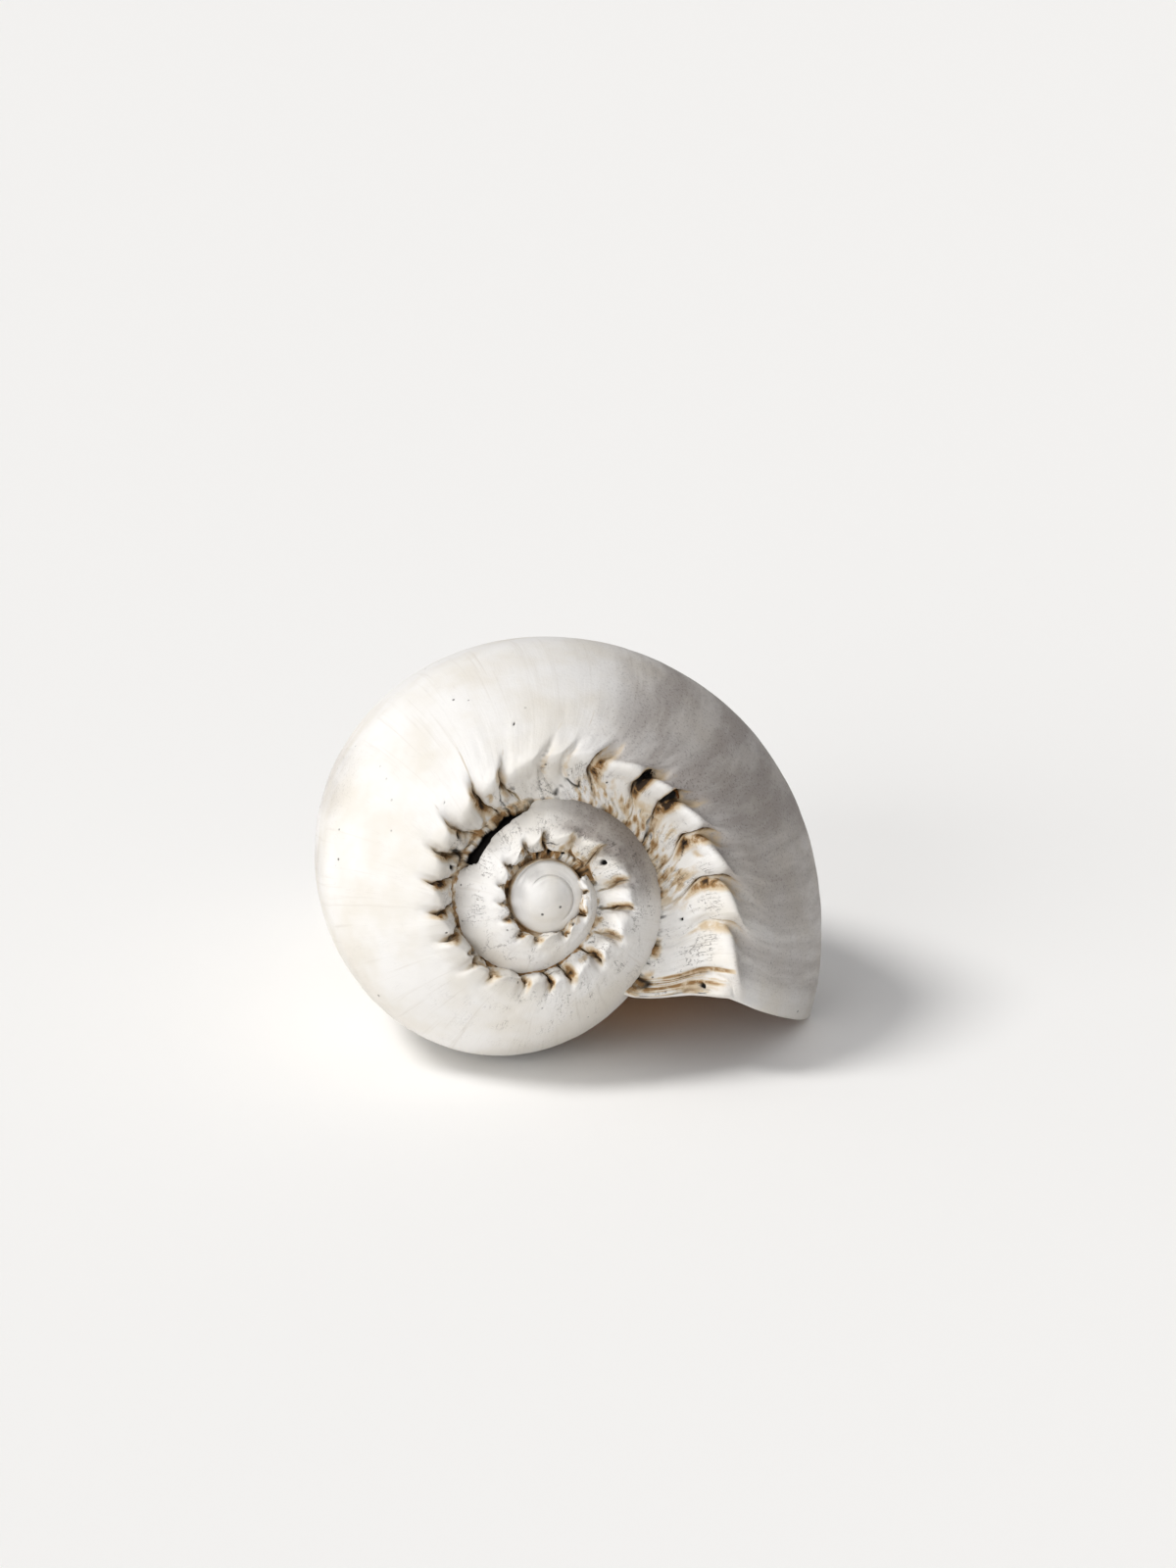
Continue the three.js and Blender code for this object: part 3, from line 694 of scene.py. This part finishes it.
# %% Putting grids into one mesh
class Sheets:
    """Collects grids of points, their faces and their marks for one mesh."""

    def __init__(self):
        self.points, self.faces, self.marks, self.count = [], [], {}, 0

    def add(self, points, mark):
        """Adds a grid of points and returns the numbers of its vertices as a grid."""
        numbers = self.count + np.arange(points.shape[0] * points.shape[1]).reshape(points.shape[:2])
        self.points.append(points.reshape(-1, 3))
        for name, values in mark.items():
            shape = (-1, 3) if name == "growth" else (-1,)
            self.marks.setdefault(name, []).append(np.broadcast_to(
                values, points.shape[:2] + values.shape[2:]).reshape(shape))
        self.count += numbers.size
        return numbers

    def join(self, numbers, flip=False):
        """Four-cornered faces between all neighbours of a grid of vertex numbers."""
        corners = [numbers[:-1, :-1], numbers[:-1, 1:], numbers[1:, 1:], numbers[1:, :-1]]
        faces = np.stack([corner.ravel() for corner in corners], -1)
        self.faces.append(faces[:, ::-1] if flip else faces)

    def join_half(self, fine_row, coarse_row):
        """Five-cornered faces between a fine row and a row with half its columns."""
        left, middle, right = fine_row[:-2:2], fine_row[1:-1:2], fine_row[2::2]
        self.faces.append(np.stack([left, middle, right, coarse_row[1:], coarse_row[:-1]], -1))


def plain_marks(shape, inside):
    """Marks of a sheet without stain of its own."""
    empty = np.zeros(shape)
    return {"stain": empty, "dark": empty, "wrinkle": empty, "shade_grey_and_weathering": empty,
            "inside": empty + inside, "growth": np.zeros(shape + (3,))}


sheets = Sheets()
growth_grid, row_grid = np.meshgrid(GROWTH, CREST_ROWS)
crest_points, crest_marks = outer_points(growth_grid, row_grid)
crest_numbers = sheets.add(crest_points, crest_marks)
sheets.join(crest_numbers)

coarse_growth = GROWTH[::2]
growth_grid, row_grid = np.meshgrid(coarse_growth, BODY_ROWS)
body_points, body_marks = outer_points(growth_grid, row_grid)
last_covered = int(np.searchsorted(BODY_ROWS, COVERED_ROW))
first_open = int(np.searchsorted(coarse_growth, PILLAR_FROM))
body_numbers = sheets.add(body_points, body_marks)
sheets.join_half(crest_numbers[-1], body_numbers[1])
sheets.join(body_numbers[1:last_covered + 1])
sheets.join(body_numbers[last_covered:, first_open:])
print(sheets.count, "points in the outer sheet")

# %% Inner sheet and rim
INNER_COLUMNS = 64
INNER_FIRST = INNER_END - 12
RIM_STEP = 0.8
RIM_BULGE = 0.75
inner_growth = np.linspace(LIP, INNER_FIRST, INNER_COLUMNS)[::-1]
all_rows = np.concatenate([CREST_ROWS, BODY_ROWS[1:]])
growth_grid, row_grid = np.meshgrid(inner_growth, all_rows)
inside_points = inner_points(growth_grid, row_grid)
inside_marks = plain_marks(inside_points.shape[:2], 1.0)
inside_marks["growth"] = growth_place(growth_grid, row_grid)
inside_numbers = sheets.add(inside_points, inside_marks)
sheets.join(inside_numbers, flip=True)

outer_edge = np.concatenate([crest_numbers[:, -1], body_numbers[1:, -1]])
edge_points = np.concatenate([crest_points[:, -1], body_points[1:, -1]])
lip_angle = LIP + lead(np.full_like(all_rows, LIP), all_rows)
ahead = place(lip_angle + RIM_STEP, *section(lip_angle + RIM_STEP, all_rows))
forward = ahead - place(lip_angle, *section(lip_angle, all_rows))
forward = forward / np.linalg.norm(forward, axis=1, keepdims=True)
rim = []
for share in (0.2, 0.5, 0.8):
    bulge = RIM_BULGE * MM * np.sin(np.pi * share) * forward
    rim.append(edge_points * (1 - share) + inside_points[:, -1] * share + bulge)
rim_numbers = sheets.add(np.stack(rim, 1), plain_marks((len(all_rows), 3), 0.0))
sheets.join(np.column_stack([outer_edge, rim_numbers, inside_numbers[:, -1]]))
print(sheets.count, "points with the inner sheet and the rim")

# %% [markdown]
# ## The dome and the tip
#
# The first whorls of this shell are a smooth dome with fine arcs where the young coil shows
# through. A small cap closes the coil at the tip. Both are profiles turned about the axis.

# %% Dome and tip cap
DOME_RADIUS = [0, 1.5, 3, 4.4, 5.6, 6.6, 7.5, 8.5, 9.5, 10.3, 10.7, 10.8]
DOME_DEPTH = [0, 0.12, 0.5, 1.12, 1.9, 2.8, 3.35, 3.6, 4.1, 5.1, 6.6, 9]
TIP_CAP_RADIUS = [7.5, 6.9, 5.6, 3.8, 1.9, 0]
TIP_CAP_DEPTH = [189, 189.9, 190.9, 191.7, 192.1, 192.2]
DOME_SPIRAL_RADIUS = 7
DOME_SPIRAL_GROWTH = 4.1
DOME_SHIFT = np.array([1.3, 0, 0.7]) * MM
DOME_SIDES = 120
TIP_SIDES = 40


def turned(radii, depths, sides, relief=None):
    """A profile turned about the axis: one row for each place of the profile."""
    angle = np.linspace(-180, 180, sides + 1)[:-1]
    place_on = np.linspace(0, len(radii) - 1, 8 * (len(radii) - 1) + 1)
    radius, depth = smooth(radii, place_on), smooth(depths, place_on)
    turn, radius = np.meshgrid(angle, radius)
    depth = np.broadcast_to(depth[:, None], radius.shape)
    if relief is not None:
        depth = depth - relief(turn, radius)
    return place(turn, radius, depth), turn, radius


def dome_arcs(turn, radius):
    """Fine grooves where the young coil shows: a spiral whose radius grows by the same amount
    each turn, seen on its first turn and again on its second."""
    grooves = np.zeros_like(turn)
    for winding, start, end in ((0, -150, 70), (360, -170, 60)):
        spiral = radius - DOME_SPIRAL_RADIUS - DOME_SPIRAL_GROWTH * (turn + winding) / 360
        reach = window(turn, start, start + 35, end - 40, end)
        grooves += (0.25 * bell(spiral + 0.8, 0.6) - 0.6 * bell(spiral, 0.25)) * reach
    return grooves


dome_points, dome_turn, dome_radius = turned(DOME_RADIUS, DOME_DEPTH, DOME_SIDES, dome_arcs)
dome_marks = plain_marks(dome_points.shape[:2], 0.0)
dome_points += DOME_SHIFT
# The fine grooves of the dome are painted darker as shade.
dome_marks["dark"] = 0.3 * np.clip(-dome_arcs(dome_turn, dome_radius) / 0.3, 0, 1)
dome_marks["stain"] = 0.5 * step(9.6, 10.4, dome_radius)
dome_numbers = sheets.add(dome_points, dome_marks)
sheets.join(np.column_stack([dome_numbers, dome_numbers[:, 0]])[1:])
tip_points, _, _ = turned(TIP_CAP_RADIUS, TIP_CAP_DEPTH, TIP_SIDES)
tip_numbers = sheets.add(tip_points, plain_marks(tip_points.shape[:2], 0.0))
sheets.join(np.column_stack([tip_numbers, tip_numbers[:, 0]])[:-1])
print(sheets.count, "points with the dome and the tip")

# %% Worn flat below, and into one mesh
points = np.concatenate(sheets.points)
points[:, 2] = np.maximum(points[:, 2], low.z)
mesh = bpy.data.meshes.new("melon_shell")
faces = [face for group in sheets.faces for face in group.tolist()]
fan = np.column_stack([np.full(DOME_SIDES, dome_numbers[0, 0]), np.roll(dome_numbers[1], -1),
                       dome_numbers[1]])
tip_fan = np.column_stack([tip_numbers[-2], np.roll(tip_numbers[-2], -1),
                           np.full(TIP_SIDES, tip_numbers[-1, 0])])
faces += fan.tolist() + tip_fan.tolist()
mesh.from_pydata(points.tolist(), [], faces)
for name, groups in sheets.marks.items():
    values = np.concatenate(groups).astype(np.float32)
    kind, key = ("FLOAT_VECTOR", "vector") if name == "growth" else ("FLOAT", "value")
    mesh.attributes.new(name, kind, "POINT").data.foreach_set(key, values.ravel())
mesh.update()
shell = bpy.data.objects.new("melon_shell", mesh)
bpy.context.collection.objects.link(shell)
work = bmesh.new()
work.from_mesh(mesh)
loose = [vertex for vertex in work.verts if not vertex.link_faces]
bmesh.ops.delete(work, geom=loose, context="VERTS")
work.to_mesh(mesh)
work.free()
mesh.shade_smooth()
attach(shell, "root")
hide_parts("shell")
print(len(mesh.polygons), "faces,", sum(len(p.vertices) - 2 for p in mesh.polygons), "triangles")

# %% [markdown]
# ## Bleached aragonite
#
# A shell is aragonite, laid down in thin sheets. Years in sun and surf leave it chalky and
# almost white, with brown stain in everything deep and fine growth lines. Deep places are painted
# near black as shade, and the side away from the lamp is painted grey as shade with grey specks.
# The inside, which the light has not bleached, is warm brown, made darker as painted shade of the
# hollow.

# %% Colours and nodes
def linear(hex_colour):
    """Red, green, blue and alpha in linear light from an sRGB hex value."""
    srgb = np.array([int(hex_colour[i:i + 2], 16) for i in (1, 3, 5)]) / 255
    values = np.where(srgb <= 0.04045, srgb / 12.92, ((srgb + 0.055) / 1.055) ** 2.4)
    return (*values.tolist(), 1.0)


def add_node(tree, kind, settings=None, inputs=None):
    """Adds one node, sets its properties, and gives its inputs values or links."""
    node = tree.nodes.new(kind)
    for name, value in (settings or {}).items():
        setattr(node, name, value)
    for name, value in (inputs or {}).items():
        if isinstance(value, bpy.types.NodeSocket):
            tree.links.new(value, node.inputs[name])
        else:
            node.inputs[name].default_value = value
    return node


CHALK = "#e3e1de"
CHALK_WARM = "#dad5cc"
GROWTH_GREY = "#c4bdb3"
STAIN_PALE = "#c6b190"
STAIN_AMBER = "#8f6b3f"
STAIN_DEEP = "#35271b"
# Near black painted as shade in the crevice, the notch, deep gaps, cracks and holes.
PAINTED_SHADE_BLACK = "#0e0a07"
# Grey painted as shade on the side away from the lamp, in worn streaks.
SHADE_AND_WEAR_GREY = "#8c837d"
WEATHER_SPECK = "#5b5254"
# The inside's own warm brown, made darker as painted shade of the hollow.
INSIDE_BROWN = "#6b3f14"
INSIDE_CREAM = "#7b4c20"
print("chalk in linear light", [round(value, 3) for value in linear(CHALK)])

# %% The material and the marks that it reads
material = bpy.data.materials.new("bleached_aragonite_shell")
material.use_nodes = True
tree = material.node_tree
tree.nodes.clear()
on_object = add_node(tree, "ShaderNodeTexCoord").outputs["Object"]
on_growth = add_node(tree, "ShaderNodeAttribute", {"attribute_name": "growth"}).outputs["Vector"]
value = {name: add_node(tree, "ShaderNodeAttribute", {"attribute_name": name}).outputs["Fac"]
         for name in ("stain", "dark", "wrinkle", "shade_grey_and_weathering", "inside")}
print(len(tree.nodes), "nodes so far")

# %% [markdown]
# Every pattern is noise whose size is stated in millimetres. Some lie evenly on the object, and
# those that follow growth are narrow along the coil and long across the whorl.

# %% Noise patterns
PATTERNS = [
    ("patches", on_object, (22, 22, 22), 3),        # bleaching changes over about 22 mm
    ("grain", on_object, (1.1, 1.1, 1.1), 4),       # chalky grain of about 1 mm and finer
    ("specks", on_object, (0.7, 0.7, 0.7), 2),      # grey specks of weathering, 0.7 mm apart
    ("cloud", on_object, (3, 3, 3), 5),             # stain breaks up in clouds of 3 mm
    ("crack_patches", on_object, (6.5, 6.5, 6.5), 3),  # cracks come in groups of 6 to 7 mm
    ("dot_patches", on_object, (14, 14, 14), 2),    # dots of borers come in groups of 14 mm
    ("growth_lines", on_growth, (1.1, 36, 1), 3),   # fine growth lines are about 1 mm apart
    ("bands", on_growth, (4.5, 90, 1), 3),          # broader bands of growth, 4 to 5 mm
    # The streaks below also break up the grey painted as shade.
    ("streaks", on_growth, (6, 18, 1), 4),          # weathering runs in streaks of 6 by 18 mm
    ("hair", on_growth, (2.4, 20, 1), 4),           # hairline cracks are about 2 mm apart
]
for name, where, size_mm, detail in PATTERNS:
    unit = MM if where == on_object else 1
    spread = add_node(tree, "ShaderNodeVectorMath", {"operation": "DIVIDE"},
                      {0: where, 1: [size * unit for size in size_mm]})
    made = add_node(tree, "ShaderNodeTexNoise", {}, {
        "Vector": spread.outputs[0], "Scale": 1.0, "Detail": detail, "Roughness": 0.6})
    value[name] = made.outputs["Fac"]
# Dots that borers left stand about 5 mm apart, painted black as the shade in their holes.
dots = add_node(tree, "ShaderNodeTexVoronoi", {}, {"Vector": on_object, "Scale": 1 / (5 * MM)})
value["dots"] = dots.outputs["Distance"]
off_middle = add_node(tree, "ShaderNodeMath", {"operation": "SUBTRACT"}, {0: value["hair"], 1: 0.5})
distance = add_node(tree, "ShaderNodeMath", {"operation": "ABSOLUTE"}, {0: off_middle.outputs[0]})
value["off_hair"] = distance.outputs[0]
print(len(PATTERNS) + 1, "patterns")

# %% [markdown]
# A mask is a smooth change between two values of a pattern. Products of masks and marks say
# where each colour lies.

# %% Masks and products
MASKS = [
    ("warm", "patches", 0.35, 0.7, 0, 1), ("lines_seen", "growth_lines", 0.55, 0.75, 0, 0.35),
    ("streaked", "streaks", 0.33, 0.68, 0.6, 1), ("speckled", "specks", 0.57, 0.63, 0, 0.45),
    ("clouded", "cloud", 0.25, 0.6, 0.45, 1.25), ("hairlines", "off_hair", 0, 0.012, 1, 0),
    ("cracked", "crack_patches", 0.45, 0.62, 0, 1), ("on_ramp", "wrinkle", 0, 1, 0.05, 0.6),
    ("dotted", "dots", 0.05, 0.1, 1, 0), ("bored", "dot_patches", 0.52, 0.6, 0, 0.8),
    ("black", "dark", 0.15, 0.85, 0, 1), ("creamy", "bands", 0.35, 0.65, 0, 1)]
PRODUCTS = [
    ("streaked_shade_grey", "shade_grey_and_weathering", "streaked"), ("weather_specks", "streaked_shade_grey", "speckled"),
    ("rough_area", "wrinkle", "cracked"), ("ramp_specks", "rough_area", "speckled"),
    ("stained", "stain", "clouded"), ("hair_groups", "hairlines", "cracked"),
    ("hairs", "hair_groups", "on_ramp"), ("dot_groups", "dotted", "bored")]
STAIN_LEVELS = [("pale", "stained", 0.08, 0.45, 0, 0.85), ("amber", "stained", 0.4, 0.75, 0, 0.95),
                ("deep", "stained", 0.72, 1, 0, 1), ("shade_grey_level", "streaked_shade_grey", 0, 1, 0, 0.85)]


for name, source, start, end, at_start, at_end in MASKS:
    made = add_node(tree, "ShaderNodeMapRange", {"interpolation_type": "SMOOTHSTEP"},
                    {0: value[source], 1: start, 2: end, 3: at_start, 4: at_end})
    value[name] = made.outputs[0]
for name, first, second in PRODUCTS:
    made = add_node(tree, "ShaderNodeMath", {"operation": "MULTIPLY"},
                    {0: value[first], 1: value[second]})
    value[name] = made.outputs[0]
for name, source, start, end, at_start, at_end in STAIN_LEVELS:
    made = add_node(tree, "ShaderNodeMapRange", {"interpolation_type": "SMOOTHSTEP"},
                    {0: value[source], 1: start, 2: end, 3: at_start, 4: at_end})
    value[name] = made.outputs[0]
print(len(value), "values to mix by")

# %% [markdown]
# The colours lie over each other like washes: chalk, growth lines, grey painted as shade with specks,
# stain, cracks and holes painted dark as shade, and last the brown of the inside, which light has not
# bleached, darkened as painted shade.

# %% Colour
inside_colour = add_node(tree, "ShaderNodeMix", {"data_type": "RGBA"}, {
    0: value["creamy"], 6: linear(INSIDE_BROWN), 7: linear(INSIDE_CREAM)}).outputs[2]
WASHES = [("warm", linear(CHALK_WARM)), ("lines_seen", linear(GROWTH_GREY)),
          ("shade_grey_level", linear(SHADE_AND_WEAR_GREY)), ("weather_specks", linear(WEATHER_SPECK)),
          ("ramp_specks", linear(WEATHER_SPECK)),
          ("pale", linear(STAIN_PALE)), ("amber", linear(STAIN_AMBER)), ("deep", linear(STAIN_DEEP)),
          ("hairs", linear(STAIN_DEEP)), ("dot_groups", linear(PAINTED_SHADE_BLACK)),
          ("black", linear(PAINTED_SHADE_BLACK)), ("inside", inside_colour)]
colour = linear(CHALK)
for share, wash in WASHES:
    made = add_node(tree, "ShaderNodeMix", {"data_type": "RGBA"}, {0: value[share], 6: colour, 7: wash})
    colour = made.outputs[2]
print(len(WASHES), "washes of colour")

# %% [markdown]
# Chalk scatters light evenly, so the outside is rough and shows no highlight. Bump adds the
# grain and the growth lines, which are too fine for the mesh: together about 0.1 mm high.

# %% Bump and finish
BUMPS = [("growth_lines", 0.1), ("grain", 0.1), ("hairs", -0.25), ("dot_groups", -0.3)]
height = 0.0
for name, rise in BUMPS:
    height = add_node(tree, "ShaderNodeMath", {"operation": "MULTIPLY_ADD"},
                      {0: value[name], 1: rise, 2: height}).outputs[0]
bump = add_node(tree, "ShaderNodeBump", {}, {"Strength": 0.7, "Distance": MM, "Height": height})
roughness = add_node(tree, "ShaderNodeMapRange", {}, {0: value["inside"], 3: 0.65, 4: 0.4})
skin = add_node(tree, "ShaderNodeBsdfPrincipled", {}, {
    "Base Color": colour, "Roughness": roughness.outputs[0], "IOR": 1.53,
    "Specular IOR Level": 0.2, "Normal": bump.outputs[0]})
add_node(tree, "ShaderNodeOutputMaterial", {}, {"Surface": skin.outputs[0]})
mesh.materials.append(material)
print(len(tree.nodes), "nodes in the material")

# %% [markdown]
# ## Floor, light and camera
#
# The floor is plain and pale and fills the view. A soft lamp stands high on the left, as a
# large window would, and a much softer one low in front, as a white wall would. An even sky
# fills the shade. A faint warm lamp in the hollow stands for daylight that comes through the
# thin wall. The camera looks down at the spire from the front.

# %% Floor
FLOOR_SIZE = 40
floor_mesh = bpy.data.meshes.new("floor")
edge = FLOOR_SIZE / 2
floor_mesh.from_pydata([(-edge, -edge, 0), (edge, -edge, 0), (edge, edge, 0), (-edge, edge, 0)],
                       [], [(0, 1, 2, 3)])
floor = bpy.data.objects.new("floor", floor_mesh)
bpy.context.collection.objects.link(floor)
paper = bpy.data.materials.new("matt_white_paper")
paper.use_nodes = True
paper_skin = paper.node_tree.nodes["Principled BSDF"]
paper_skin.inputs["Base Color"].default_value = linear("#f5f4f2")
paper_skin.inputs["Roughness"].default_value = 0.95
paper_skin.inputs["Specular IOR Level"].default_value = 0.0
floor_mesh.materials.append(paper)
print("floor of", FLOOR_SIZE, "m")

# %% Light
lamp_data = bpy.data.lights.new("window", "SUN")
lamp_data.energy = 1.84
lamp_data.angle = np.radians(20)
lamp_data.color = (1.0, 0.99, 0.975)


def shine(data, height, around):
    """Puts a lamp at a height above the floor and an angle round from the left, in radians:
    the angle grows towards the back."""
    lamp = bpy.data.objects.new(data.name, data)
    towards = Vector((-np.cos(height) * np.cos(around), np.cos(height) * np.sin(around), np.sin(height)))
    lamp.rotation_euler = towards.to_track_quat("Z", "Y").to_euler()
    lamp.location = towards * 2
    bpy.context.collection.objects.link(lamp)


shine(lamp_data, np.radians(53), np.radians(-10))
soft_data = bpy.data.lights.new("soft_front_light", "SUN")
soft_data.energy = 2
soft_data.angle = np.radians(50)
shine(soft_data, np.radians(6), np.radians(-54))
glow_data = bpy.data.lights.new("light_through_the_wall", "POINT")
glow_data.energy = 0.0028
glow_data.color = (1.0, 0.5, 0.18)
glow_data.shadow_soft_size = 15 * MM
glow = bpy.data.objects.new("light_through_the_wall", glow_data)
glow.location = (22 * MM, -30 * MM, 30 * MM)
bpy.context.collection.objects.link(glow)
world = bpy.data.worlds.new("sky")
bpy.context.scene.world = world
world.use_nodes = True
sky = world.node_tree.nodes["Background"]
sky.inputs[0].default_value = linear("#f6f6f8")
sky.inputs[1].default_value = 0.45
bpy.context.scene.view_settings.view_transform = "Standard"

# %% Camera
CAMERA_DOWN = np.radians(17.34)
CAMERA_DISTANCE = 1100 * MM
APEX_LEFT = 11.79 * MM
APEX_BELOW = 31.89 * MM
LENS = 92.35
looking = np.array([0, np.cos(CAMERA_DOWN), -np.sin(CAMERA_DOWN)])
upwards = np.array([0, np.sin(CAMERA_DOWN), np.cos(CAMERA_DOWN)])
camera_data = bpy.data.cameras.new("camera")
camera_data.lens = LENS
camera_data.sensor_width = 36
camera = bpy.data.objects.new("camera", camera_data)
camera.location = Vector(APEX - CAMERA_DISTANCE * looking + np.array([APEX_LEFT, 0, 0])
                         + APEX_BELOW * upwards)
camera.rotation_euler = (np.pi / 2 - CAMERA_DOWN, 0, 0)
bpy.context.collection.objects.link(camera)
bpy.context.scene.camera = camera
print("camera at", [round(value, 4) for value in camera.location])

# %% The end
bpy.context.view_layer.update()
